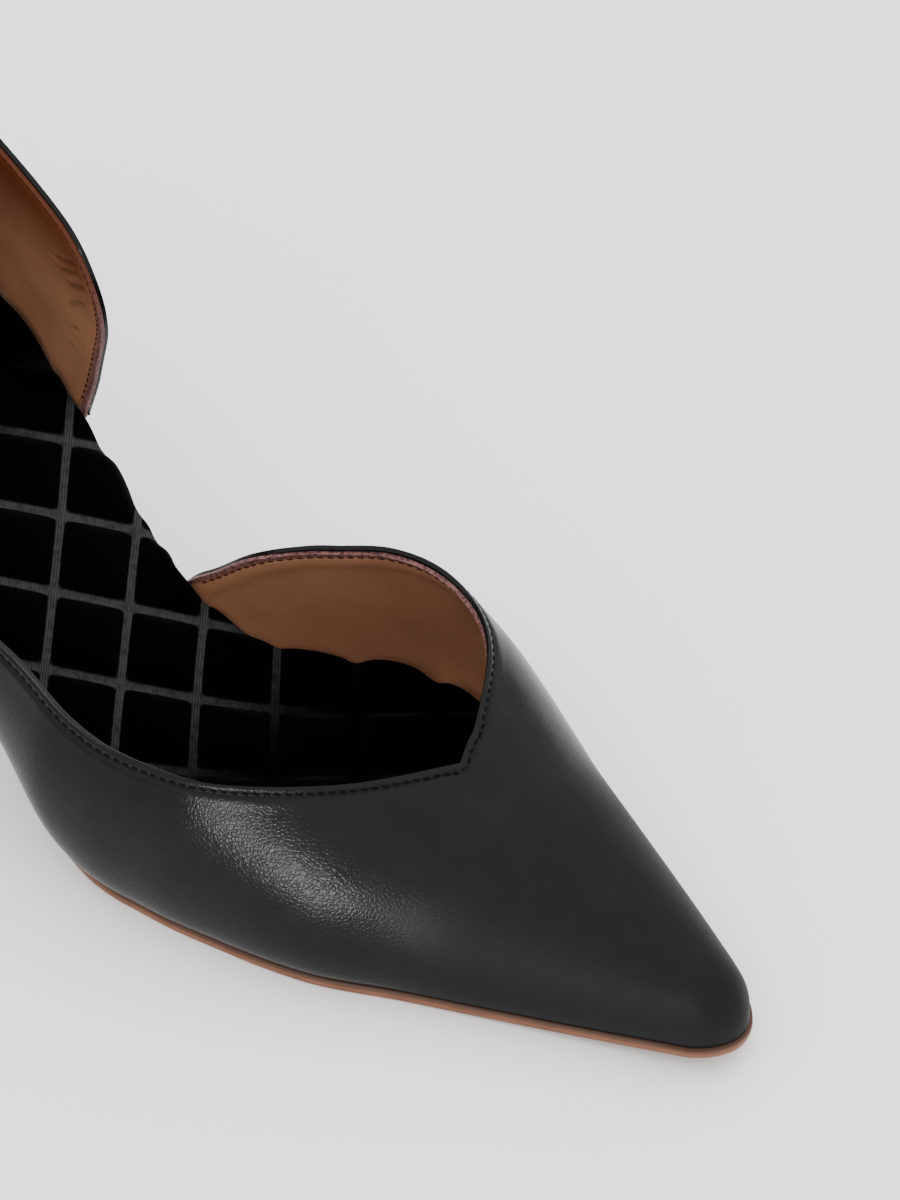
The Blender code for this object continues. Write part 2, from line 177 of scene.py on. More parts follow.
# Sheets of the upper: step between columns and rows in a column. The quarter's lining has a closer
# step along CREASED_PART of its inner edge.
VAMP_GRID = (0.0007, 52)
VAMP_LINING_GRID = (0.0009, 40)
QUARTER_GRID = (0.0007, 48)
QUARTER_LINING_GRID = (0.0016, 165, 0.0005)
CREASED_PART = (0.55, 0.76)

# Distances of the lining's cut edge and of its stitches from the folded edge
VAMP_LINING_TRIM = 0.00025
VAMP_LINING_INSET = 0.00150
QUARTER_LINING_TRIM = 0.00120
QUARTER_LINING_INSET = 0.00205

# Relief of the leather along its edge: place and width of the bead, of the swell below the
# stitches and of the groove, and the width of the painted shade in the groove
BEAD_PLACE, BEAD_WIDTH = 0.00055, 0.0009
SWELL_HEIGHT, SWELL_PLACE, SWELL_WIDTH = 0.00009, 0.0014, 0.0008
GROOVE_WIDTH, GROOVE_SHADE_WIDTH = 0.00034, 0.00030
LINING_SWELL_HEIGHT, LINING_SWELL_PLACE, LINING_SWELL_WIDTH = 0.00024, 0.0020, 0.0013
LINING_GROOVE_DEPTH, LINING_GROOVE_WIDTH = 0.00020, 0.00035

# Marks on the lining: blend of the raw edge, width and blend of the ink, height where the painted shade
# that darkens it higher up starts, and its blend
RAW_BLEND = 0.0003
INK_WIDTH, INK_BLEND = 0.0006, 0.0003
LINING_SHADE_HEIGHT, LINING_SHADE_BLEND = 0.062, 0.034

# Rounding of the rims, and the air between lining and leather
LEATHER_RIM = 0.00036
LINING_RIM = 0.00018
RIM_ANGLE = 50
LINING_AIR = 0.00008

# Stitches: thread radii, bare ends of a row, half length as a share of the pitch, slant, sides and
# rings. POD_LIFT, POD_DIVE and TIP_DEPTH are in thread radii.
OUTER_THREAD = 0.00024
LINING_THREAD = 0.00020
ROW_END = 0.003
STITCH_SHARE = 0.40
STITCH_SLANT = 0.10
STITCH_REACH = 0.0004
STITCH_SIDES = 8
STITCH_RINGS = 5
POD_LIFT, POD_DIVE, TIP_DEPTH = 0.15, 0.9, -0.95

# Wear creases of the quarter's inner lining, with places along and up the wall
Crease = namedtuple("Crease", "depth half_width alongs ups")
DEEPEST_CREASE = 0.00045
CREASE_TAPER = 0.003
CREASES = [
    Crease(0.00045, 0.00068, (0.575, 0.600, 0.625, 0.667), (0.620, 0.650, 0.720, 0.930)),
    Crease(0.00040, 0.00060, (0.600, 0.633, 0.683), (0.560, 0.670, 0.930)),
    Crease(0.00045, 0.00068, (0.625, 0.658, 0.692), (0.540, 0.650, 0.860)),
    Crease(0.00032, 0.00060, (0.645, 0.670, 0.700), (0.420, 0.560, 0.700)),
    Crease(0.00030, 0.00060, (0.660, 0.685, 0.708), (0.330, 0.390, 0.470)),
    Crease(0.00024, 0.00060, (0.672, 0.700, 0.735), (0.250, 0.290, 0.280)),
]

# Edge of the dressed sole: its upper part as (offset from the margin, height), then a round of
# SOLE_ROUND, then a last row this far inside on the underside. Over SEAM_SHADE_HEIGHT it carries painted
# shade, where it meets the upper.
SOLE_START = 0.0500
SOLE_MARGIN = 0.0004
SOLE_ROUND = 0.0008
SOLE_TOP = (
    (-0.0060, SOLE_THICKNESS - 0.0001), (-0.0003, SOLE_THICKNESS - 0.0001),
    (0.0001, SOLE_THICKNESS - 0.0004), (0.0002, 0.0016),
)
SOLE_INNERMOST = -0.0040
SEAM_SHADE_HEIGHT, SEAM_SHADE_BLEND = 0.0019, 0.0003

# How far the heel's cover comes below its solid, and the height of the rows that are moved
HEEL_DROP = 0.0003
HEEL_FOOT = 0.0004

# How the sole draws in at the waist: share of WAIST_TUCK, station where it starts and its length
WAIST_TUCK = 0.0040
WAIST = ((0.12, 0.580, 0.08), (0.88, 0.490, 0.07))

# Quilting: lines per metre of arc and per metre across, and where the count starts
Family = namedtuple("Family", "per_length per_width start")
QUILT_I = Family(47.10, 43.61, -3.302)
QUILT_J = Family(44.17, -46.57, -2.575)
QUILT_PITCH = 0.01558
QUILT_SPAN = (-0.0217, 0.2325)
PAD_REACH = 0.0021
PAD_SHARE, CROWN_SHARE = 0.72, 0.28

# Padded insole: columns and rows, how far it stays back at the toe, its edge where it shows and
# where it is covered, the radius of its rolled edge and what that gains where it shows
INSOLE_COLUMNS, INSOLE_ROWS = 520, 131
INSOLE_ROLL, INSOLE_ROLL_GAIN = 0.0012, 0.0016
INSOLE_TOE_OFFSET = -0.0045
INSOLE_SHOWN_OFFSET = -0.0006
INSOLE_COVERED_GAP = 0.0003
INSOLE_BULGE = 0.0005

Lamp = namedtuple("Lamp", "name azimuth elevation tilt distance width height power")
LAMP_TARGET = (0.12, -0.01, 0.03)
TOP_LAMP = Lamp("top_softbox", 95, 62, 0, 2.4, 1.6, 1.6, 16.0)
SIDE_LAMP = Lamp("side_strip", -66, 10, 44, 1.2, 0.40, 0.040, 10.5)
SKY_HEIGHTS = (0.12, 0.42)
SKY_STRENGTHS = (0.95, 2.30)

# The photo's camera: place, direction back from the scene, and the azimuth of its horizontal
CAMERA_PLACE = (0.6307, -0.5109, 0.8622)
CAMERA_BACK = (0.4451, -0.4891, 0.7501)
CAMERA_AZIMUTH = 42.3
CAMERA_LENS = 174.27


def read(rows, column, at):
    """One column of a table at stations, on the frame's smooth curve."""
    knots = np.array([row.station for row in rows])
    values = np.array([getattr(row, column) for row in rows])
    chords = np.diff(values) / np.diff(knots)
    slopes = np.zeros(len(knots))
    slopes[0], slopes[-1] = chords[0], chords[-1]
    for i in range(1, len(knots) - 1):
        if chords[i - 1] * chords[i] > 0:
            slopes[i] = 2 / (1 / chords[i - 1] + 1 / chords[i])
    at = np.clip(np.asarray(at, float), knots[0], knots[-1])
    i = np.clip(np.searchsorted(knots, at, side="right") - 1, 0, len(chords) - 1)
    span = knots[i + 1] - knots[i]
    q = (at - knots[i]) / span
    start = values[i] * (1 + 2 * q) * (1 - q) ** 2 + slopes[i] * span * q * (1 - q) ** 2
    return start + values[i + 1] * (3 - 2 * q) * q ** 2 + slopes[i + 1] * span * (q - 1) * q ** 2


def ramp(q):
    """Soft step from 0 to 1."""
    q = np.clip(q, 0, 1)
    return q * q * (3 - 2 * q)


def closing(q):
    """Round end of an outline."""
    q = np.clip(q, 0, 1)
    return (1 - (1 - q) ** ROUND_POWER) ** (1 / ROUND_POWER)


def hill(x, centre, width):
    """Soft hill of height 1."""
    return np.exp(-((x - centre) / width) ** 2)


def outline(station, offset, toe_offset=None):
    """x and both y values of the last's bottom edge, moved outwards by an offset."""
    toe_offset = offset if toe_offset is None else toe_offset
    toe = np.maximum(0, (station - 1 + END_TURN) / END_TURN) ** 2
    heel = np.maximum(0, (END_TURN - station) / END_TURN) ** 2
    x = HEEL_BACK + station * LENGTH + toe_offset * toe - offset * heel
    centre = BALL_WIDTH * read(PLAN, "centre", station)
    half = BALL_WIDTH * read(PLAN, "half_width", station) + offset
    half = half * closing(station / HEEL_ROUND) * closing((1 - station) / TOE_ROUND)
    return x, centre - half, centre + half


def rise(x):
    """Height of the sole's underside at x."""
    station = (x - HEEL_BACK) / LENGTH
    spring = np.maximum(0, station - TREAD_END) / (1 - TREAD_END)
    return HEEL_RISE * read(PROFILE, "rise", station) + TOE_SPRING * spring ** 2


def vamp_point(station, girth, depth):
    """Points on the vamp's wall at a depth below its outer face."""
    station, girth = np.broadcast_arrays(np.asarray(station, float), np.asarray(girth, float))
    x, outer, inner = outline(station, -depth)
    on_inner = girth > 0
    edge = np.where(on_inner, inner, outer)
    ridge = BALL_WIDTH * read(SECTIONS, "ridge", station) * closing((1 - station) / TOE_ROUND)
    ridge = ridge + (outer + inner) / 2
    inner_full, outer_full = (read(SECTIONS, name, station) for name in ("inner_full", "outer_full"))
    power = 2 / np.where(on_inner, inner_full, outer_full)
    inner_swell, outer_swell = (read(SECTIONS, name, station) for name in ("inner_swell", "outer_swell"))
    swell = BALL_WIDTH * np.where(on_inner, inner_swell, -outer_swell)
    height = (INSTEP * read(SECTIONS, "height", station) - depth) * closing((1 - station) / NOSE_ROUND)
    angle = np.abs(girth) * np.pi / 2
    up = np.maximum(0, np.cos(angle)) ** power
    across = np.sin(angle) ** power
    y = ridge + (edge - ridge) * across + swell * np.sin(np.pi * up ** SWELL_LOWNESS)
    return np.stack([x, y, FOOT_LEVEL + rise(x) + height * up], -1)


def faired(values, width, dense, at):
    """Values on a dense row of places, smoothed over a width in samples and read at other places."""
    kernel = hill(np.arange(-FAIR_REACH, FAIR_REACH + 1), 0, width)
    padded = np.pad(values, FAIR_REACH, mode="reflect", reflect_type="odd")
    return np.interp(at, dense, np.convolve(padded, kernel / kernel.sum(), mode="valid"))


def rim(column, at):
    """One column of the rim table, faired so that the edge runs in one sweep."""
    dense = np.linspace(0, 1, FAIR_SAMPLES)
    return faired(read(RIM, column, dense), RIM_FAIRING, dense, at)


def quarter_point(side, along, up, depth):
    """Points on the quarter's wall: along 0 at the back and 1 at its front foot."""
    along, up = np.broadcast_arrays(np.asarray(along, float), np.asarray(up, float))
    front = INNER_FRONT if side == "inner" else OUTER_FRONT
    foot = front * rim("foot", along)
    station = foot + (front * rim("along", along) - foot) * up
    height = np.maximum(0, rim("height", along)) * up
    x, outer, inner = outline(station, COUNTER_HEIGHT * read(LEAN, "out", height) - depth)
    foot_z = FOOT_LEVEL + rise(HEEL_BACK + foot * LENGTH)
    return np.stack([x, inner if side == "inner" else outer, foot_z + COUNTER_HEIGHT * height], -1)


def arc(points):
    """Distance along a line of points."""
    steps = np.linalg.norm(np.diff(points, axis=0), axis=1)
    return np.concatenate([[0], np.cumsum(steps)])


def row_distances(length, count, trim):
    """Distances of a column's rows from the folded edge, fine near it."""
    fine = EDGE_ROWS * min(1, length / ROWS_LENGTH)
    rest = np.linspace(fine[-1], length, count - len(fine) + 1)[1:]
    spots = np.concatenate([fine, rest])
    return trim + spots * (length - trim) / max(length, 1e-9) if length > 2 * trim else spots


def even_stations(start, end, step, line):
    """Stations whose points along a line lie about a step apart."""
    dense = np.linspace(start, end, 600)
    length = arc(line(dense))
    count = max(2, int(length[-1] / step))
    return np.interp(np.linspace(0, length[-1], count + 1), length, dense)


def edge_girth(topline, stations):
    """Girth of the vamp's edge, faired along the shoe so that it runs in one sweep."""
    dense = np.linspace(topline[0].station, THROAT, FAIR_SAMPLES)
    return faired(read(topline, "girth", dense), TOPLINE_FAIRING, dense, stations)


def spaced_rows(dense, points, rows, trim):
    """Values along each column at the row distances from its first point."""
    steps = np.linalg.norm(np.diff(points, axis=1), axis=2)
    lengths = np.concatenate([np.zeros((len(points), 1)), np.cumsum(steps, axis=1)], axis=1)
    return np.array([
        np.interp(row_distances(length[-1], rows, trim), length, column)
        for length, column in zip(lengths, dense)
    ])


def tuck(columns, middle):
    """Add two points to each column that turn the foot of the leather in over the sole."""
    foot = columns[:, -1]
    inward = middle - foot
    inward = inward / (np.linalg.norm(inward, axis=1)[:, None] + 1e-9)
    low = foot + inward * TUCK_SLOPE
    low[:, 2] -= TUCK_DROP
    under = low + inward * TUCK_IN
    under[:, 2] -= TUCK_SLOPE
    return np.concatenate([columns, low[:, None], under[:, None]], axis=1)


def vamp_sheets(depth, trim, grid, tucked=False):
    """Grids of the vamp at one depth: outer wing, inner wing and toe, each column from the edge down."""
    step, rows = grid
    sheets = []
    throat_girths = []
    for topline, foot in ((OUTER_TOPLINE, -1.0), (INNER_TOPLINE, 1.0)):
        def edge_line(s):
            return vamp_point(s, edge_girth(topline, s), depth)

        stations = even_stations(topline[0].station, THROAT, step, edge_line)
        top = edge_girth(topline, stations)
        dense = top[:, None] + (foot - top[:, None]) * np.linspace(0, 1, 240)
        girths = spaced_rows(dense, vamp_point(stations[:, None], dense, depth), rows, trim)
        columns = vamp_point(stations[:, None], girths, depth)
        throat_girths.append(girths[-1])
        sheets.append(tuck(columns, foot_middle(stations)) if tucked else columns)
    near = HEEL_BACK + THROAT * LENGTH + np.arange(0, TOE_NEAR, TOE_STEP)
    tip = HEEL_BACK + LENGTH
    far = tip - (tip - near[-1]) * (1 - np.linspace(0, 1, TOE_ROWS)[1:]) ** TOE_POWER
    girths = np.concatenate([throat_girths[0][::-1], throat_girths[1][1:]])
    toe_stations = (np.concatenate([near, far]) - HEEL_BACK) / LENGTH
    toe = vamp_point(toe_stations[:, None], girths, depth)
    if tucked:
        middle = foot_middle(toe_stations)
        toe = tuck(toe[:, ::-1], middle)[:, ::-1]
        toe = tuck(toe, middle)
    sheets.append(toe)
    return sheets


def foot_middle(stations):
    """Points in the middle of the shoe, at the height of the foot of the upper."""
    x, outer, inner = outline(np.minimum(stations, 0.985), 0.0)
    return np.stack([x, (outer + inner) / 2, FOOT_LEVEL + rise(x)], -1)


def quarter_sheet(depth, trim, step, rows, close_step=None):
    """Grid of the quarter at one depth, round the back from the outer to the inner front foot.

    A close step gives the inner side's front more columns, for its creases.
    """
    columns = []
    for side in ("outer", "inner"):
        def edge_line(s):
            return quarter_point(side, s, 1, depth)

        alongs = even_stations(0, 1, step, edge_line)
        if close_step and side == "inner":
            first, last = CREASED_PART
            close = even_stations(first, last, close_step, edge_line)
            alongs = np.concatenate([alongs[alongs < first - 0.001], close, alongs[alongs > last + 0.001]])
        dense = np.repeat(np.linspace(1, 0, 160)[None], len(alongs), axis=0)
        ups = spaced_rows(dense, quarter_point(side, alongs[:, None], dense, depth), rows, trim)
        side_columns = quarter_point(side, alongs[:, None], ups, depth)
        columns.append(side_columns[::-1] if side == "outer" else side_columns[1:])
    return np.concatenate(columns)


def vamp_edge(depth=0.0):
    """Line of the vamp's folded edge, from the outer tail round the throat to the inner tail."""
    outer = np.linspace(OUTER_TAIL, THROAT, 1400)
    inner = np.linspace(THROAT, INNER_TAIL, 1200)[1:]
    return np.concatenate([
        vamp_point(outer, edge_girth(OUTER_TOPLINE, outer), depth),
        vamp_point(inner, edge_girth(INNER_TOPLINE, inner), depth),
    ])


def quarter_edge(depth=0.0):
    """Line of the quarter's folded edge, from the outer front foot to the inner front foot."""
    along = np.linspace(0, 1, 1500)
    outer = quarter_point("outer", along[::-1], 1, depth)
    return np.concatenate([outer, quarter_point("inner", along[1:], 1, depth)])


def activate(piece):
    """Select one piece alone, so that an operator acts on nothing else."""
    bpy.ops.object.select_all(action="DESELECT")
    piece.select_set(True)
    bpy.context.view_layer.objects.active = piece


def apply_modifiers(piece):
    activate(piece)
    for modifier in list(piece.modifiers):
        bpy.ops.object.modifier_apply(modifier=modifier.name)


def new_object(name, mesh):
    """Object of an edit mesh, which is freed."""
    data = bpy.data.meshes.new(name)
    mesh.to_mesh(data)
    mesh.free()
    piece = bpy.data.objects.new(name, data)
    bpy.context.scene.collection.objects.link(piece)
    return piece


def sheet_object(name, grids, outward):
    """Object from grids of points, welded. An open sheet's faces are turned as outward says."""
    mesh = bmesh.new()
    for grid in grids:
        corners = [[mesh.verts.new(point) for point in column] for column in grid]
        for low, high in zip(corners, corners[1:]):
            for i in range(len(low) - 1):
                mesh.faces.new((low[i], low[i + 1], high[i + 1], high[i]))
    bmesh.ops.remove_doubles(mesh, verts=mesh.verts, dist=WELD)
    bmesh.ops.recalc_face_normals(mesh, faces=mesh.faces)
    if outward:
        mesh.normal_update()
        votes = (face.calc_area() * outward(face.calc_center_median(), face.normal) for face in mesh.faces)
        if sum(votes) < 0:
            bmesh.ops.reverse_faces(mesh, faces=mesh.faces)
    return new_object(name, mesh)


def positions(piece):
    co = np.zeros(len(piece.data.vertices) * 3)
    piece.data.vertices.foreach_get("co", co)
    return co.reshape(-1, 3)


def normals(piece):
    n = np.zeros(len(piece.data.vertices) * 3)
    piece.data.vertices.foreach_get("normal", n)
    return n.reshape(-1, 3)


def set_positions(piece, co):
    piece.data.vertices.foreach_set("co", np.asarray(co, np.float32).ravel())
    piece.data.update()


def nearest_on(line, points):
    """Distance from a line and the length along it, for each point."""
    length = arc(line)
    tree = KDTree(len(line))
    for i, point in enumerate(line):
        tree.insert(point, i)
    tree.balance()
    found = [tree.find(point) for point in points]
    return np.array([hit[2] for hit in found]), length[[hit[1] for hit in found]]


def store(piece, name, values):
    """Keep a number per corner point for the piece's material."""
    attribute = piece.data.attributes.new(name, "FLOAT", "POINT")
    attribute.data.foreach_set("value", np.asarray(values, np.float32))


def store_uv(piece, u, v):
    """UV map in metres from values per vertex."""
    layer = piece.data.uv_layers.new(name="UVMap")
    loops = np.zeros(len(piece.data.loops), int)
    piece.data.loops.foreach_get("vertex_index", loops)
    uv = np.stack([np.asarray(u)[loops], np.asarray(v)[loops]], -1)
    layer.data.foreach_set("uv", uv.astype(np.float32).ravel())


def give_thickness(piece, thickness, rounding):
    """Solidify a sheet away from its faces and round its rim."""
    solid = piece.modifiers.new("thickness", "SOLIDIFY")
    solid.thickness = thickness
    solid.offset = -1
    solid.use_even_offset = False
    bevel = piece.modifiers.new("rim", "BEVEL")
    bevel.width = rounding
    bevel.segments = 3
    bevel.limit_method = "ANGLE"
    bevel.angle_limit = radians(RIM_ANGLE)
    apply_modifiers(piece)
    bpy.ops.object.shade_smooth()


def make_material(name, specular, roughness=None):
    """Material with its node tree and shader, and constants on the shader's own sockets."""
    made = bpy.data.materials.new(name)
    made.use_nodes = True
    shader = made.node_tree.nodes["Principled BSDF"]
    shader.inputs["Specular IOR Level"].default_value = specular
    if roughness is not None:
        shader.inputs["Roughness"].default_value = roughness
    return made, made.node_tree, shader


def add(tree, kind, inputs=None, **settings):
    """A node with its settings and input values or links."""
    node = tree.nodes.new(kind)
    for key, value in settings.items():
        setattr(node, key, value)
    for key, value in (inputs or {}).items():
        if isinstance(value, bpy.types.NodeSocket):
            tree.links.new(value, node.inputs[key])
        else:
            node.inputs[key].default_value = value
    return node


def place_of(tree):
    """Coordinates of the piece itself."""
    return add(tree, "ShaderNodeTexCoord").outputs["Object"]


def noise(tree, place, scale, detail=2.0, distortion=0.0):
    """Value of a noise."""
    inputs = {"Vector": place, "Scale": scale, "Detail": detail, "Distortion": distortion}
    return add(tree, "ShaderNodeTexNoise", inputs).outputs["Fac"]


def cells(tree, place, scale, feature="F1"):
    """Distance in a cell pattern."""
    inputs = {"Vector": place, "Scale": scale}
    return add(tree, "ShaderNodeTexVoronoi", inputs, feature=feature).outputs["Distance"]


def map_range(tree, value, target, source=(0.0, 1.0), smooth=False):
    """Value moved from a source range to a target range."""
    inputs = {0: value, 1: source[0], 2: source[1], 3: target[0], 4: target[1]}
    kind = "SMOOTHSTEP" if smooth else "LINEAR"
    return add(tree, "ShaderNodeMapRange", inputs, interpolation_type=kind).outputs[0]


def ramp_node(tree, value, stops):
    """Colour ramp over a value."""
    node = add(tree, "ShaderNodeValToRGB", {0: value})
    while len(node.color_ramp.elements) < len(stops):
        node.color_ramp.elements.new(0.5)
    for element, (place, colour) in zip(node.color_ramp.elements, stops):
        element.position = place
        element.color = (*colour, 1)
    return node.outputs["Color"]


def math_node(tree, operation, *values):
    """Result of a sum on values and sockets."""
    return add(tree, "ShaderNodeMath", dict(enumerate(values)), operation=operation).outputs[0]


def attribute_node(tree, name):
    """Number stored on the mesh."""
    return add(tree, "ShaderNodeAttribute", attribute_name=name).outputs["Fac"]


def mix_colour(tree, factor, first, second):
    """Mix of two colours or sockets."""
    node = add(tree, "ShaderNodeMix", data_type="RGBA")
    for socket, value in ((node.inputs[0], factor), (node.inputs[6], first), (node.inputs[7], second)):
        if isinstance(value, bpy.types.NodeSocket):
            tree.links.new(value, socket)
        else:
            socket.default_value = (*value, 1)
    return node.outputs[2]


def bump_node(tree, height, distance, strength, under=None):
    """Normal of a height in metres, on top of another normal."""
    inputs = {"Height": height, "Distance": distance, "Strength": strength}
    if under is not None:
        inputs["Normal"] = under
    return add(tree, "ShaderNodeBump", inputs).outputs["Normal"]


def shaded(colour, factor):
    """Lighter or darker tone of a colour."""
    return tuple(min(1, factor * c) for c in colour)


def surface(tree, shader, colour, normal, roughness=None):
    """Link a material's colour, normal and roughness to its shader."""
    for name, socket in (("Base Color", colour), ("Normal", normal), ("Roughness", roughness)):
        if socket is not None:
            tree.links.new(socket, shader.inputs[name])


def leather_material(name, colour, stitched=True):
    """Finished leather with a fine pebble grain, duller towards the toe, and painted shade in its stitch
    groove.
    """
    made, tree, shader = make_material(name, specular=0.11)
    place = place_of(tree)
    warp = add(tree, "ShaderNodeTexNoise", {"Vector": place, "Scale": 420.0, "Detail": 2.0})
    moved = add(tree, "ShaderNodeVectorMath", {0: warp.outputs["Color"], 1: (0.0007, 0.0007, 0.0007)},
                operation="MULTIPLY").outputs[0]
    moved = add(tree, "ShaderNodeVectorMath", {0: place, 1: moved}, operation="ADD").outputs[0]
    pebble = math_node(tree, "MINIMUM", cells(tree, moved, 1250.0, "DISTANCE_TO_EDGE"), 0.25)
    height = math_node(tree, "MULTIPLY_ADD", noise(tree, place, 2600.0, 3.0), 0.10, pebble)
    normal = bump_node(tree, noise(tree, place, 55.0, 3.0), 0.0006, 0.35)
    normal = bump_node(tree, height, 0.00013, 0.55, normal)
    patch = noise(tree, place, 160.0, 4.0)
    rough = map_range(tree, patch, (0.20, 0.31))
    along = add(tree, "ShaderNodeSeparateXYZ", {0: place}).outputs["X"]
    matt = map_range(tree, along, (0.0, 0.32), source=(0.168, 0.192), smooth=True)
    shade = mix_colour(tree, patch, shaded(colour, 0.6), shaded(colour, 1.5))
    if stitched:
        # Painted shade: the leather is darkened in the stitch groove
        shade = mix_colour(tree, attribute_node(tree, "groove"), shade, shaded(colour, 0.15))
    surface(tree, shader, shade, normal, math_node(tree, "ADD", rough, matt))
    return made


def lining_material(name, colour, raw):
    """Tan lining leather, with painted shade in its creases and higher up, a pinkish raw edge and an inked
    fold.
    """
    made, tree, shader = make_material(name, specular=0.12)
    place = place_of(tree)
    cloud = noise(tree, place, 90.0, 5.0)
    grain = cells(tree, place, 1500.0, "DISTANCE_TO_EDGE")
    speck = noise(tree, place, 1800.0, 4.0)
    shade = mix_colour(tree, cloud, shaded(colour, 0.80), shaded(colour, 1.22))
    fibres = ramp_node(tree, speck, [(0.38, shaded(raw, 0.35)), (0.62, shaded(raw, 1.5))])
    shade = mix_colour(tree, attribute_node(tree, "raw_edge"), shade, fibres)
    # Painted shade in the troughs of the lining's creases
    crease_shade = math_node(tree, "MULTIPLY", attribute_node(tree, "crease_shade"), 0.7)
    shade = mix_colour(tree, crease_shade, shade, shaded(colour, 0.25))
    # Painted shade that darkens the lining with height
    lining_shade_colour = (0.30 * colour[0], 0.14 * colour[1], 0.05 * colour[2])
    shade = mix_colour(tree, attribute_node(tree, "painted_lining_shade"), shade, lining_shade_colour)
    shade = mix_colour(tree, attribute_node(tree, "inked"), shade, (0.012, 0.011, 0.012))
    normal = bump_node(tree, noise(tree, place, 220.0, 5.0, 1.4), 0.0004, 0.25)
    normal = bump_node(tree, math_node(tree, "MULTIPLY_ADD", speck, 0.3, grain), 0.00008, 0.5, normal)
    surface(tree, shader, shade, normal, map_range(tree, cloud, (0.42, 0.58)))
    return made


def velvet_material(name, colour, channel):
    """Black velvet: deep pile on the pads, flattened ribbed pile in the channels with a painted sheen that
    dims out where the insole lies in shade, a little lint.
    """
    made, tree, shader = make_material(name, specular=0.02, roughness=0.95)
    shader.inputs["Sheen Weight"].default_value = 0.02
    shader.inputs["Sheen Roughness"].default_value = 0.4
    place = place_of(tree)
    flat = add(tree, "ShaderNodeUVMap", uv_map="UVMap").outputs["UV"]
    parts = add(tree, "ShaderNodeSeparateXYZ", {0: flat})
    across = math_node(tree, "MULTIPLY_ADD", noise(tree, place, 260.0, 3.0), 0.00035, parts.outputs["X"])
    ribs = math_node(tree, "SINE", math_node(tree, "MULTIPLY", across, 2 * np.pi / 0.00052))
    ribs = math_node(tree, "MULTIPLY_ADD", ribs, 0.5, 0.5)
    to_i = math_node(tree, "PINGPONG", parts.outputs["X"], QUILT_PITCH / 2)
    to_j = math_node(tree, "PINGPONG", parts.outputs["Y"], QUILT_PITCH / 2)
    both = math_node(tree, "MULTIPLY_ADD", to_j, to_j, 1e-8)
    both = math_node(tree, "SQRT", math_node(tree, "MULTIPLY_ADD", to_i, to_i, both))
    near = math_node(tree, "DIVIDE", math_node(tree, "MULTIPLY", to_i, to_j), both)
    near = math_node(tree, "MULTIPLY_ADD", math_node(tree, "SUBTRACT", ribs, 0.5), 0.00022, near)
    half, soft = sizes().channel_width / 2, 0.00015
    # Painted sheen: the channels' flattened pile is lighter, in rib stripes, and dimmed out where the
    # insole lies in shade
    flattened = map_range(tree, near, (1.0, 0.0), source=(half - soft, half + soft), smooth=True)
    flattened = math_node(tree, "MULTIPLY", flattened, attribute_node(tree, "painted_sheen_fade"))
    broken = math_node(tree, "MULTIPLY_ADD", noise(tree, place, 700.0, 3.0), 1.7, 0.1)
    painted_rib_sheen = math_node(tree, "MULTIPLY", math_node(tree, "MULTIPLY_ADD", ribs, 0.60, 0.50), broken)
    shade = mix_colour(tree, math_node(tree, "MULTIPLY", flattened, painted_rib_sheen), colour, channel)
    white, black = (1, 1, 1), (0, 0, 0)
    lint = ramp_node(tree, cells(tree, place, 170.0), [(0.0, white), (0.055, black)])
    lint_mask = ramp_node(tree, noise(tree, place, 75.0), [(0.56, black), (0.70, white)])
    lint = math_node(tree, "MULTIPLY", math_node(tree, "MULTIPLY", lint, lint_mask), 0.5)
    shade = mix_colour(tree, lint, shade, (0.07, 0.07, 0.07))
    height = math_node(tree, "MULTIPLY_ADD", noise(tree, place, 2400.0, 3.0), 0.6, ribs)
    surface(tree, shader, shade, bump_node(tree, height, 0.00007, 0.6))
    return made


def sole_material(name, colour):
    """Natural sole leather in fine layers, with painted shade along its upper edge where it meets the
    upper.
    """
    made, tree, shader = make_material(name, specular=0.14)
    place = place_of(tree)
    layers = add(tree, "ShaderNodeMapping", {"Vector": place, "Scale": (60.0, 60.0, 2600.0)}).outputs[0]
    layered = noise(tree, layers, 1.0, 4.0)
    cloud = noise(tree, place, 110.0, 5.0)
    both = math_node(tree, "MULTIPLY_ADD", layered, 0.5, math_node(tree, "MULTIPLY", cloud, 0.5))
    tones = [(0.30, shaded(colour, 0.55)), (0.50, colour), (0.72, shaded(colour, 1.35))]
    # Painted shade along the top of the sole's edge, under the upper
    painted_seam_shade = attribute_node(tree, "painted_seam_shade")
    shade = mix_colour(tree, painted_seam_shade, ramp_node(tree, both, tones), (0.035, 0.018, 0.012))
    height = math_node(tree, "MULTIPLY_ADD", noise(tree, place, 1400.0, 4.0), 0.5, layered)
    rough = map_range(tree, cloud, (0.40, 0.60))
    surface(tree, shader, shade, bump_node(tree, height, 0.00012, 0.35), rough)
    return made


def thread_material(name, colour):
    """Waxed thread with a fine twist."""
    made, tree, shader = make_material(name, specular=0.05, roughness=0.48)
    inputs = {"Vector": place_of(tree), "Scale": 900.0, "Distortion": 2.0}
    twist = add(tree, "ShaderNodeTexWave", inputs).outputs["Fac"]
    shade = mix_colour(tree, twist, shaded(colour, 0.6), shaded(colour, 1.4))
    surface(tree, shader, shade, bump_node(tree, twist, 0.00005, 0.5))
    return made


def rubber_material(name, colour):
    """Hard dull rubber with fine scuffs."""
    made, tree, shader = make_material(name, specular=0.20)
    place = place_of(tree)
    scuff = noise(tree, place, 240.0, 6.0)
    shade = mix_colour(tree, scuff, colour, shaded(colour, 2.2))
    normal = bump_node(tree, noise(tree, place, 1500.0, 4.0), 0.00006, 0.5)
    surface(tree, shader, shade, normal, map_range(tree, scuff, (0.45, 0.75)))
    return made


DISTANCE = {"subtype": "DISTANCE", "unit": "LENGTH"}
COLOUR = {"subtype": "COLOR", "min": 0, "max": 1}


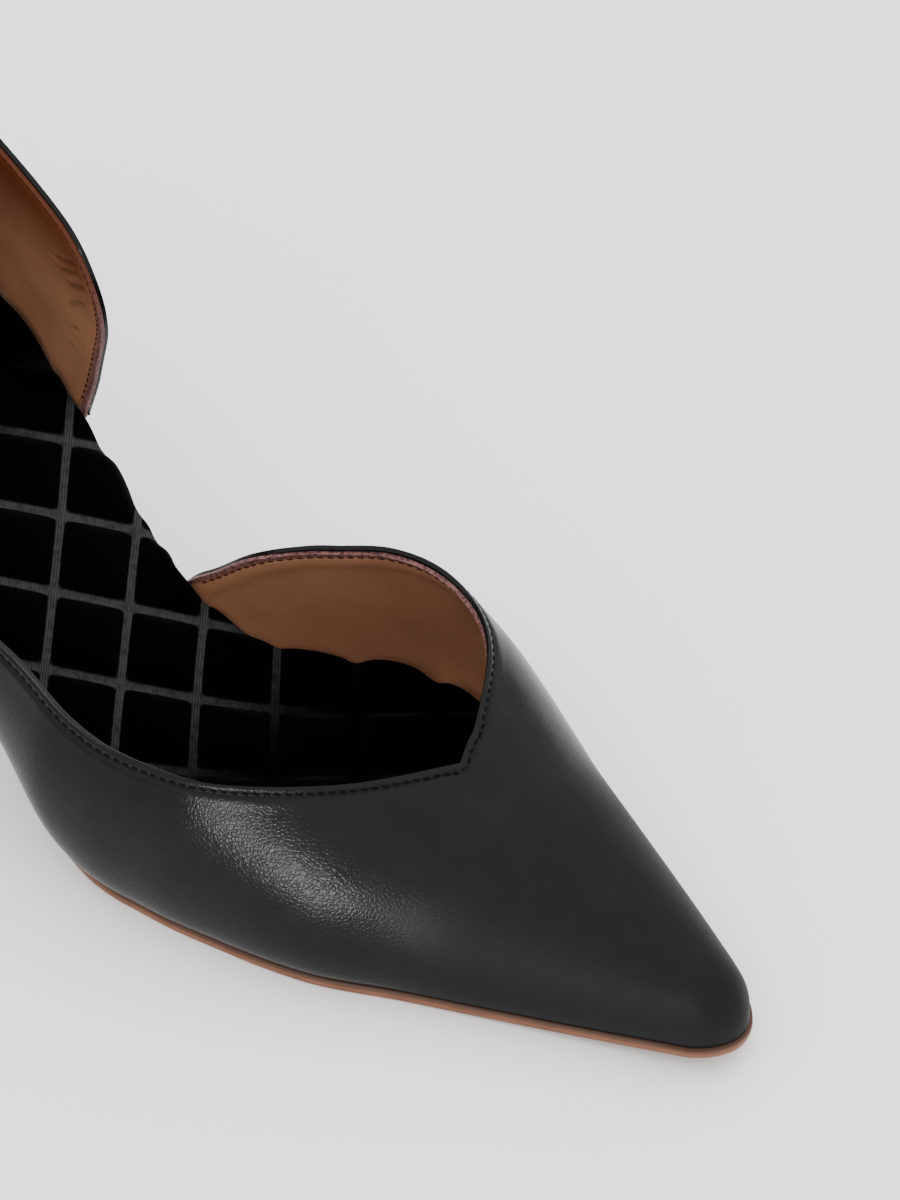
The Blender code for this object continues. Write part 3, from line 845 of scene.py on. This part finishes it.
class PumpSizes(PropertyGroup):
    stitch_pitch: FloatProperty(name="Pitch from stitch to stitch", default=0.0020, **DISTANCE)
    stitch_inset: FloatProperty(name="Stitches from the folded edge", default=0.00175, **DISTANCE)
    bead_height: FloatProperty(name="Height of the folded bead", default=0.00016, **DISTANCE)
    groove_depth: FloatProperty(name="Depth of the stitch groove", default=0.00026, **DISTANCE)
    leather_thickness: FloatProperty(name="Thickness of the outer leather", default=0.00085, **DISTANCE)
    quilt_relief: FloatProperty(name="Height of the quilting's pads", default=0.0030, **DISTANCE)
    channel_width: FloatProperty(name="Width of the quilting's channels", default=0.0016, **DISTANCE)


class PumpColours(PropertyGroup):
    leather: FloatVectorProperty(name="Outer leather", default=(0.0042, 0.0042, 0.0045), **COLOUR)
    lining: FloatVectorProperty(name="Lining leather", default=(0.205, 0.092, 0.049), **COLOUR)
    raw_edge: FloatVectorProperty(name="Lining's raw edge", default=(0.130, 0.058, 0.054), **COLOUR)
    velvet: FloatVectorProperty(name="Velvet pads", default=(0.0003, 0.0003, 0.00035), **COLOUR)
    # Painted sheen of the flattened pile in the channels
    channel: FloatVectorProperty(name="Velvet channels", default=(0.032, 0.032, 0.0335), **COLOUR)
    sole: FloatVectorProperty(name="Sole leather", default=(0.190, 0.080, 0.044), **COLOUR)
    floor: FloatVectorProperty(name="Floor", default=(0.925, 0.93, 0.93), **COLOUR)


def sizes():
    return bpy.context.scene.pump_sizes


def colours():
    return bpy.context.scene.pump_colours


def centre_of(point):
    """Middle of the shoe's inside near a point."""
    station = (point.x - HEEL_BACK) / LENGTH
    x, outer, inner = outline(np.clip(station, 0.12, 0.93), 0.0)
    return Vector((float(x), float((outer + inner) / 2), float(rise(x)) + 0.012))


def away(point, normal):
    """Over 0 where a face looks away from the middle of the shoe."""
    return (point - centre_of(point)).dot(normal)


def towards(point, normal):
    return -away(point, normal)


def dress_outer(piece, edge):
    """Raise the folded bead, press in the stitch groove and mark the groove for its painted shade."""
    co = positions(piece)
    distance, along = nearest_on(edge, co)
    inset = sizes().stitch_inset
    lift = sizes().bead_height * ramp(1 - np.abs(distance - BEAD_PLACE) / BEAD_WIDTH)
    lift += SWELL_HEIGHT * hill(distance, inset + SWELL_PLACE, SWELL_WIDTH)
    lift -= sizes().groove_depth * hill(distance, inset, GROOVE_WIDTH)
    lift *= ramp((distance + 0.0006) / 0.0009)
    set_positions(piece, co + normals(piece) * lift[:, None])
    # Mask of the painted shade in the stitch groove
    store(piece, "groove", hill(distance, inset, GROOVE_SHADE_WIDTH))
    store_uv(piece, along, distance)


def dress_inner(piece, edge, inset):
    """Press the lining in along its stitches, and mark its raw edge, inked fold and the painted shade that
    darkens it higher up.
    """
    co = positions(piece)
    distance, along = nearest_on(edge, co)
    lift = LINING_SWELL_HEIGHT * hill(distance, inset + LINING_SWELL_PLACE, LINING_SWELL_WIDTH)
    lift -= LINING_GROOVE_DEPTH * hill(distance, inset, LINING_GROOVE_WIDTH)
    set_positions(piece, co + normals(piece) * lift[:, None])
    store(piece, "raw_edge", ramp((inset - RAW_BLEND - distance) / RAW_BLEND))
    middle = foot_middle((co[:, 0] - HEEL_BACK) / LENGTH)[:, 1]
    on_outer = ramp((middle + 0.004 - co[:, 1]) / 0.004)
    store(piece, "inked", on_outer * ramp((INK_WIDTH - distance) / INK_BLEND))
    # Painted shade: the lining is darker with height
    store(piece, "painted_lining_shade", 0.95 * ramp((co[:, 2] - LINING_SHADE_HEIGHT) / LINING_SHADE_BLEND))
    store_uv(piece, along, distance)


def crease_lining(piece, creases):
    """Press soft wear creases into the quarter's lining and mark them for painted shade."""
    co = positions(piece)
    lift = np.zeros(len(co))
    dark = np.zeros(len(co))
    for crease in creases:
        q = np.linspace(0, 1, 60)
        knots = np.linspace(0, 1, len(crease.alongs))
        alongs, ups = np.interp(q, knots, crease.alongs), np.interp(q, knots, crease.ups)
        distance, along = nearest_on(quarter_point("inner", alongs, ups, WALL), co)
        taper = ramp(along / CREASE_TAPER) * ramp((along.max() - along) / CREASE_TAPER)
        width = crease.half_width
        lift -= crease.depth * taper * (hill(distance, 0, width) - 0.35 * hill(distance, 2 * width, width))
        # Painted shade, strongest in the troughs of the deepest creases
        dark = np.maximum(dark, taper * hill(distance, 0, width) * crease.depth / DEEPEST_CREASE)
    set_positions(piece, co + normals(piece) * lift[:, None])
    store(piece, "crease_shade", dark)


def finish_piece(piece, material, replaced=()):
    """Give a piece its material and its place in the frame."""
    piece.data.materials.clear()
    piece.data.materials.append(material)
    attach(piece, "root")
    if replaced:
        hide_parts(*replaced)


def inset_line(sheet, edge, inset):
    """Line on an open sheet at an inset from its edge, with the sheet's normals along it."""
    faces = [tuple(face.vertices) for face in sheet.data.polygons]
    tree = BVHTree.FromPolygons(positions(sheet).tolist(), faces)
    points, ways = [], []
    for point, along in zip(edge[::3], np.gradient(edge, axis=0)[::3]):
        normal = tree.find_nearest(Vector(point))[1]
        side = Vector(along).cross(normal).normalized()
        hits = [tree.find_nearest(Vector(point) + way * inset) for way in (side, -side)]
        nearest = min(hits, key=lambda hit: hit[3])
        points.append(nearest[0])
        ways.append(nearest[1])
    return np.array(points), np.array(ways)


def vector_at(place, length, values):
    """Vector at a length along a line whose points carry one each."""
    return Vector([np.interp(place, length, values[:, axis]) for axis in range(3)])


def stitch_row(name, sheet, edge, inset, radius, material):
    """Row of thread stitches on an open sheet, each a closed pod whose ends dive into the leather."""
    line, ways = inset_line(sheet, edge, inset)
    length = arc(line)
    pitch = sizes().stitch_pitch
    turns = np.arange(STITCH_SIDES) * 2 * np.pi / STITCH_SIDES
    spots = np.linspace(-1, 1, STITCH_RINGS + 2)[1:-1]
    mesh = bmesh.new()
    for k in range(int((length[-1] - 2 * ROW_END) / pitch)):
        middle = ROW_END + (k + 0.5) * pitch
        shifts = (-STITCH_REACH, 0, STITCH_REACH)
        back, at, front = (vector_at(middle + shift, length, line) for shift in shifts)
        up = vector_at(middle, length, ways).normalized()
        along = (front - back).normalized()
        side = along.cross(up).normalized()
        along = (along + side * STITCH_SLANT).normalized()
        up = side.cross(along).normalized()
        half = pitch * STITCH_SHARE
        rings = []
        for spot in spots:
            centre = at + along * half * spot + up * radius * (POD_LIFT - POD_DIVE * spot ** 4)
            girth = radius * (1 - spot ** 4) ** 0.5
            rings.append([
                mesh.verts.new(centre + side * girth * float(np.cos(t)) + up * girth * float(np.sin(t)))
                for t in turns
            ])
        tips = [mesh.verts.new(at + along * half * way + up * radius * TIP_DEPTH) for way in (-1, 1)]
        for low, high in zip(rings, rings[1:]):
            for n in range(STITCH_SIDES):
                mesh.faces.new((low[n], low[n - 1], high[n - 1], high[n]))
        for n in range(STITCH_SIDES):
            mesh.faces.new((rings[0][n - 1], rings[0][n], tips[0]))
            mesh.faces.new((rings[-1][n], rings[-1][n - 1], tips[1]))
    bmesh.ops.recalc_face_normals(mesh, faces=mesh.faces)
    row = new_object(name, mesh)
    activate(row)
    bpy.ops.object.shade_smooth()
    finish_piece(row, material)


def once(name, make, *values):
    """Material by name, made on its first use."""
    return bpy.data.materials.get(name) or make(name, *values)


def outer_leather(part, grids, edge):
    """Outer leather of the vamp or the quarter, with its stitches."""
    leather = once("black_grained_leather", leather_material, tuple(colours().leather))
    thread = once("black_waxed_thread", thread_material, (0.0012, 0.0012, 0.0013))
    piece = sheet_object(part + "_leather", grids, away)
    dress_outer(piece, edge)
    stitch_row(part + "_outer_stitches", piece, edge, sizes().stitch_inset, OUTER_THREAD, thread)
    give_thickness(piece, sizes().leather_thickness, LEATHER_RIM)
    finish_piece(piece, leather, [part])


def tan_lining(part, grids, edge, inset, creases=()):
    """Lining of the vamp or the quarter, with its stitches."""
    raw = tuple(colours().raw_edge)
    leather = once("tan_lining_leather", lining_material, tuple(colours().lining), raw)
    thread = once("red_brown_thread", thread_material, (0.030, 0.008, 0.006))
    piece = sheet_object(part + "_lining", grids, towards)
    dress_inner(piece, edge, inset)
    crease_lining(piece, creases)
    stitch_row(part + "_lining_stitches", piece, edge, inset, LINING_THREAD, thread)
    give_thickness(piece, WALL - sizes().leather_thickness - LINING_AIR, LINING_RIM)
    finish_piece(piece, leather)


class PUMP_OT_vamp(Operator):
    """Make the vamp's outer leather and its lining, both with their stitches"""
    bl_idname = "pump.vamp"
    bl_label = "Vamp"

    def execute(self, context):
        outer = vamp_sheets(0.0, 0.0, VAMP_GRID, tucked=True)
        outer_leather("vamp", outer, vamp_edge())
        inner = vamp_sheets(WALL, VAMP_LINING_TRIM, VAMP_LINING_GRID)
        tan_lining("vamp", inner, vamp_edge(WALL), VAMP_LINING_INSET)
        return {"FINISHED"}


class PUMP_OT_quarter(Operator):
    """Make the heel quarter's outer leather and its lining with wear creases, both with their stitches"""
    bl_idname = "pump.quarter"
    bl_label = "Quarter"

    def execute(self, context):
        outer = quarter_sheet(0.0, 0.0, *QUARTER_GRID)
        outer_leather("quarter", [outer], quarter_edge())
        inner = quarter_sheet(WALL, QUARTER_LINING_TRIM, *QUARTER_LINING_GRID)
        tan_lining("quarter", [inner], quarter_edge(WALL), QUARTER_LINING_INSET, CREASES)
        return {"FINISHED"}


def quilt_places(x, y):
    """Quilting coordinates of points on the insole, in pads along both families, and their arc."""
    xs = np.linspace(*QUILT_SPAN, 400)
    length = np.concatenate([[0], np.cumsum(np.hypot(np.diff(xs), np.diff(rise(xs))))])
    s = np.interp(x, xs, length)
    i, j = (line.per_length * s + line.per_width * y + line.start for line in (QUILT_I, QUILT_J))
    return i, j, s


def insole_edge(station, side):
    """Offset of the insole's edge from the last's bottom edge, and how far the edge shows."""
    front, tail = (INNER_FRONT, INNER_TAIL) if side == "inner" else (OUTER_FRONT, OUTER_TAIL)
    start = front * 1.07
    shown = ramp((station - start) / 0.020) * ramp((tail - station) / 0.020)
    covered = WALL + INSOLE_COVERED_GAP
    return -covered + (covered + INSOLE_SHOWN_OFFSET) * shown, shown


class PUMP_OT_insole(Operator):
    """Make the quilted velvet insole"""
    bl_idname = "pump.insole"
    bl_label = "Quilted insole"

    def execute(self, context):
        ends = (1 - np.cos(np.linspace(0, np.pi, INSOLE_COLUMNS))) / 2
        station = (0.35 * ends + 0.65 * np.linspace(0, 1, INSOLE_COLUMNS))[:, None]
        share = np.linspace(-1, 1, INSOLE_ROWS)[None]
        outer_offset, outer_shown = insole_edge(station, "outer")
        inner_offset, inner_shown = insole_edge(station, "inner")
        x, outer = outline(station, outer_offset, INSOLE_TOE_OFFSET)[:2]
        inner = outline(station, inner_offset, INSOLE_TOE_OFFSET)[2]
        spread = 0.55 * np.sin(share * np.pi / 2) + 0.45 * share
        y = (outer + inner) / 2 + (inner - outer) / 2 * spread
        x = x + 0 * y
        i, j = quilt_places(x, y)[:2]
        to_i = np.abs(i - np.round(i)) * QUILT_PITCH
        to_j = np.abs(j - np.round(j)) * QUILT_PITCH
        near = to_i * to_j / (np.hypot(to_i, to_j) + 1e-9)
        pad = 1 - np.exp(-(np.maximum(0, near - sizes().channel_width * 0.30) / PAD_REACH) ** 1.5)
        crown = (1 - (1 - 2 * to_i / QUILT_PITCH) ** 2) * (1 - (1 - 2 * to_j / QUILT_PITCH) ** 2)
        relief = sizes().quilt_relief * (PAD_SHARE * pad + CROWN_SHARE * crown)
        end = np.minimum(station, 1 - station) * LENGTH + 0.0006
        to_outer, to_inner = np.minimum(y - outer, end), np.minimum(inner - y, end)
        roll = 1
        for to_edge, shown in ((to_outer, outer_shown), (to_inner, inner_shown)):
            radius = INSOLE_ROLL + INSOLE_ROLL_GAIN * shown
            roll = roll * np.sqrt(np.clip(1 - (1 - np.clip(to_edge / radius, 0, 1)) ** 2, 0, 1))
        z = FOOT_LEVEL + rise(x) + 0.0010 + (INSOLE_THICKNESS - 0.0020 + relief) * roll
        bulge_out = INSOLE_BULGE * outer_shown * (pad[:, :1] * 1.5 - 0.8)
        bulge_in = INSOLE_BULGE * inner_shown * (pad[:, -1:] * 1.5 - 0.8)
        push = bulge_in * ramp((share - 0.8) / 0.2) - bulge_out * ramp((-share - 0.8) / 0.2)
        top = np.stack([x, y + push, z], -1)
        low = top[:, [0, -1]].copy()
        low[:, :, 2] = FOOT_LEVEL + rise(low[:, :, 0]) + 0.00005
        line = low[:, :1] + (low[:, 1:] - low[:, :1]) * np.linspace(0, 1, 5)[None, :, None]
        bottom = np.concatenate([top[:, :1], line, top[:, -1:]], axis=1)
        piece = sheet_object("quilted_insole", [top, bottom], None)
        co = positions(piece)
        i, j, s = quilt_places(co[:, 0], co[:, 1])
        # Where the channels' painted sheen shows: it dims out towards the heel and the toe, where the
        # insole lies in shade
        store(piece, "painted_sheen_fade", ramp((0.162 - s) / 0.030) * ramp((s - 0.066) / 0.020))
        store_uv(piece, i * QUILT_PITCH, j * QUILT_PITCH)
        activate(piece)
        bpy.ops.object.shade_smooth()
        velvet = velvet_material("black_velvet", tuple(colours().velvet), tuple(colours().channel))
        finish_piece(piece, velvet, ["insole"])
        return {"FINISHED"}


class PUMP_OT_outsole(Operator):
    """Make the leather outsole with its rounded edge"""
    bl_idname = "pump.outsole"
    bl_label = "Outsole"

    def execute(self, context):
        start = SOLE_START / LENGTH + GAP / LENGTH
        station = (1 - (1 - start) * (1 - np.linspace(0, 1, 260)) ** 1.3)[:, None]
        drawn_in = sum(share * ramp((place - station) / span) for share, place, span in WAIST)
        margin = SOLE_MARGIN - WAIST_TUCK * drawn_in
        turn = np.radians(np.linspace(0, 90, 5))
        offsets, lifts = (list(column) for column in zip(*SOLE_TOP))
        offsets += list(-SOLE_ROUND * (1 - np.cos(turn))) + [SOLE_INNERMOST]
        lifts += list(SOLE_ROUND * (1 - np.sin(turn))) + [0.0]
        x, outer, inner = outline(station, margin + np.array(offsets)[None])
        z = rise(x) + np.array(lifts)[None]
        ring = np.concatenate([np.stack([x, outer, z], -1), np.stack([x, inner, z], -1)[:, ::-1]], axis=1)
        ring = np.concatenate([ring, ring[:, :1]], axis=1)
        half = len(offsets)
        cap = [ring[0, :half], ring[0, half:2 * half][::-1]]
        piece = sheet_object("leather_outsole", [ring, cap], None)
        co = positions(piece)
        lift = co[:, 2] - rise(co[:, 0])
        # Mask of the painted shade at the top of the sole's edge
        store(piece, "painted_seam_shade", 0.85 * ramp((lift - SEAM_SHADE_HEIGHT) / SEAM_SHADE_BLEND))
        activate(piece)
        bpy.ops.object.shade_smooth_by_angle(angle=radians(50))
        leather = sole_material("tan_sole_leather", tuple(colours().sole))
        finish_piece(piece, leather, ["outsole"])
        return {"FINISHED"}


class PUMP_OT_heel(Operator):
    """Cover the heel with leather and finish its rubber tip"""
    bl_idname = "pump.heel"
    bl_label = "Heel and tip"

    def execute(self, context):
        activate(frame["nodes"]["heel"])
        bpy.ops.object.duplicate()
        cover = bpy.context.view_layer.objects.active
        cover.name = cover.data.name = "covered_heel"
        bpy.ops.object.parent_clear(type="CLEAR_KEEP_TRANSFORM")
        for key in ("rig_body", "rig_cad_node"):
            if key in cover:
                del cover[key]
        bpy.ops.object.mode_set(mode="EDIT")
        bpy.ops.mesh.select_all(action="SELECT")
        bpy.ops.mesh.remove_doubles(threshold=WELD)
        bpy.ops.mesh.tris_convert_to_quads(face_threshold=radians(60), shape_threshold=radians(60))
        bpy.ops.object.mode_set(mode="OBJECT")
        mesh = bmesh.new()
        mesh.from_mesh(cover.data)
        crease = mesh.edges.layers.float.new("crease_edge")
        for edge in mesh.edges:
            if len(edge.link_faces) == 2 and edge.calc_face_angle(0) > radians(50):
                edge[crease] = 0.9
        mesh.to_mesh(cover.data)
        mesh.free()
        round_off = cover.modifiers.new("smooth", "SUBSURF")
        round_off.levels = round_off.render_levels = 2
        apply_modifiers(cover)
        bpy.ops.object.shade_smooth_by_angle(angle=radians(40))
        co = positions(cover)
        at_foot = co[:, 2] < co[:, 2].min() + HEEL_FOOT
        co[at_foot, 2] -= HEEL_DROP
        set_positions(cover, co)
        leather = leather_material("heel_cover_leather", tuple(colours().leather), stitched=False)
        finish_piece(cover, leather, ["heel"])

        tip = frame["nodes"]["heel_tip"]
        tip.data.materials.clear()
        tip.data.materials.append(rubber_material("tip_rubber_dull", (0.014, 0.014, 0.014)))
        return {"FINISHED"}


class PUMP_OT_stage(Operator):
    """Set up the pale floor, the soft lights and the camera"""
    bl_idname = "pump.stage"
    bl_label = "Stage"

    def execute(self, context):
        bpy.ops.mesh.primitive_plane_add(size=1, location=(0.1, 0, 0))
        floor = context.object
        floor.name = "floor"
        floor.scale = (6, 6, 1)
        bpy.ops.object.transform_apply(location=True, scale=True)
        made, tree, shader = make_material("pale_floor", specular=0.1, roughness=0.9)
        colour = tuple(colours().floor)
        shade = mix_colour(tree, noise(tree, place_of(tree), 3.0), shaded(colour, 0.995), colour)
        tree.links.new(shade, shader.inputs["Base Color"])
        floor.data.materials.append(made)

        world = bpy.data.worlds.new("studio")
        world.use_nodes = True
        sky = world.node_tree
        facing = add(sky, "ShaderNodeTexCoord").outputs["Generated"]
        height = add(sky, "ShaderNodeSeparateXYZ", {0: facing}).outputs["Z"]
        glow = map_range(sky, height, SKY_STRENGTHS, source=SKY_HEIGHTS, smooth=True)
        sky.links.new(glow, sky.nodes["Background"].inputs["Strength"])
        sky.nodes["Background"].inputs["Color"].default_value = (1.0, 1.0, 1.0, 1)
        context.scene.world = world

        for row in (TOP_LAMP, SIDE_LAMP):
            light = bpy.data.lights.new(row.name, "AREA")
            light.shape = "RECTANGLE"
            light.size, light.size_y = row.width, row.height
            light.energy = row.power
            a, e = radians(row.azimuth), radians(row.elevation)
            lamp = bpy.data.objects.new(row.name, light)
            context.scene.collection.objects.link(lamp)
            aim = Vector((cos(a) * cos(e), sin(a) * cos(e), sin(e))).normalized()
            tilt = Quaternion((0, 0, 1), radians(row.tilt))
            lamp.location = Vector(LAMP_TARGET) + aim * row.distance
            lamp.rotation_euler = (aim.to_track_quat("Z", "Y") @ tilt).to_euler()
            lamp.visible_diffuse = row is TOP_LAMP
            lamp.visible_glossy = row is SIDE_LAMP

        view = bpy.data.cameras.new("camera")
        view.sensor_width = 36
        view.sensor_fit = "AUTO"
        view.lens = CAMERA_LENS
        view.clip_start, view.clip_end = 0.05, 20
        camera = bpy.data.objects.new("camera", view)
        context.scene.collection.objects.link(camera)
        back = Vector(CAMERA_BACK).normalized()
        azimuth = radians(CAMERA_AZIMUTH)
        across = Vector((cos(azimuth), sin(azimuth), 0))
        turn = Matrix((across, back.cross(across), back)).transposed().to_4x4()
        camera.matrix_world = Matrix.Translation(CAMERA_PLACE) @ turn
        context.scene.camera = camera
        return {"FINISHED"}


class PUMP_PT_panel(Panel):
    bl_label = "D'Orsay pump"
    bl_idname = "PUMP_PT_panel"
    bl_space_type = "VIEW_3D"
    bl_region_type = "UI"
    bl_category = "Pump"

    def draw(self, context):
        for group in (context.scene.pump_sizes, context.scene.pump_colours):
            for name in group.__annotations__:
                self.layout.prop(group, name)
        for step in STEPS:
            self.layout.operator(step.bl_idname)


STEPS = (
    PUMP_OT_vamp, PUMP_OT_quarter, PUMP_OT_insole,
    PUMP_OT_outsole, PUMP_OT_heel, PUMP_OT_stage,
)
CLASSES = (PumpSizes, PumpColours, *STEPS, PUMP_PT_panel)


def register():
    for item in CLASSES:
        bpy.utils.register_class(item)
    bpy.types.Scene.pump_sizes = PointerProperty(type=PumpSizes)
    bpy.types.Scene.pump_colours = PointerProperty(type=PumpColours)


def unregister():
    del bpy.types.Scene.pump_colours
    del bpy.types.Scene.pump_sizes
    for item in reversed(CLASSES):
        bpy.utils.unregister_class(item)


def main():
    register()
    bpy.ops.pump.vamp()
    bpy.ops.pump.quarter()
    bpy.ops.pump.insole()
    bpy.ops.pump.outsole()
    bpy.ops.pump.heel()
    bpy.ops.pump.stage()


if __name__ == "__main__":
    main()
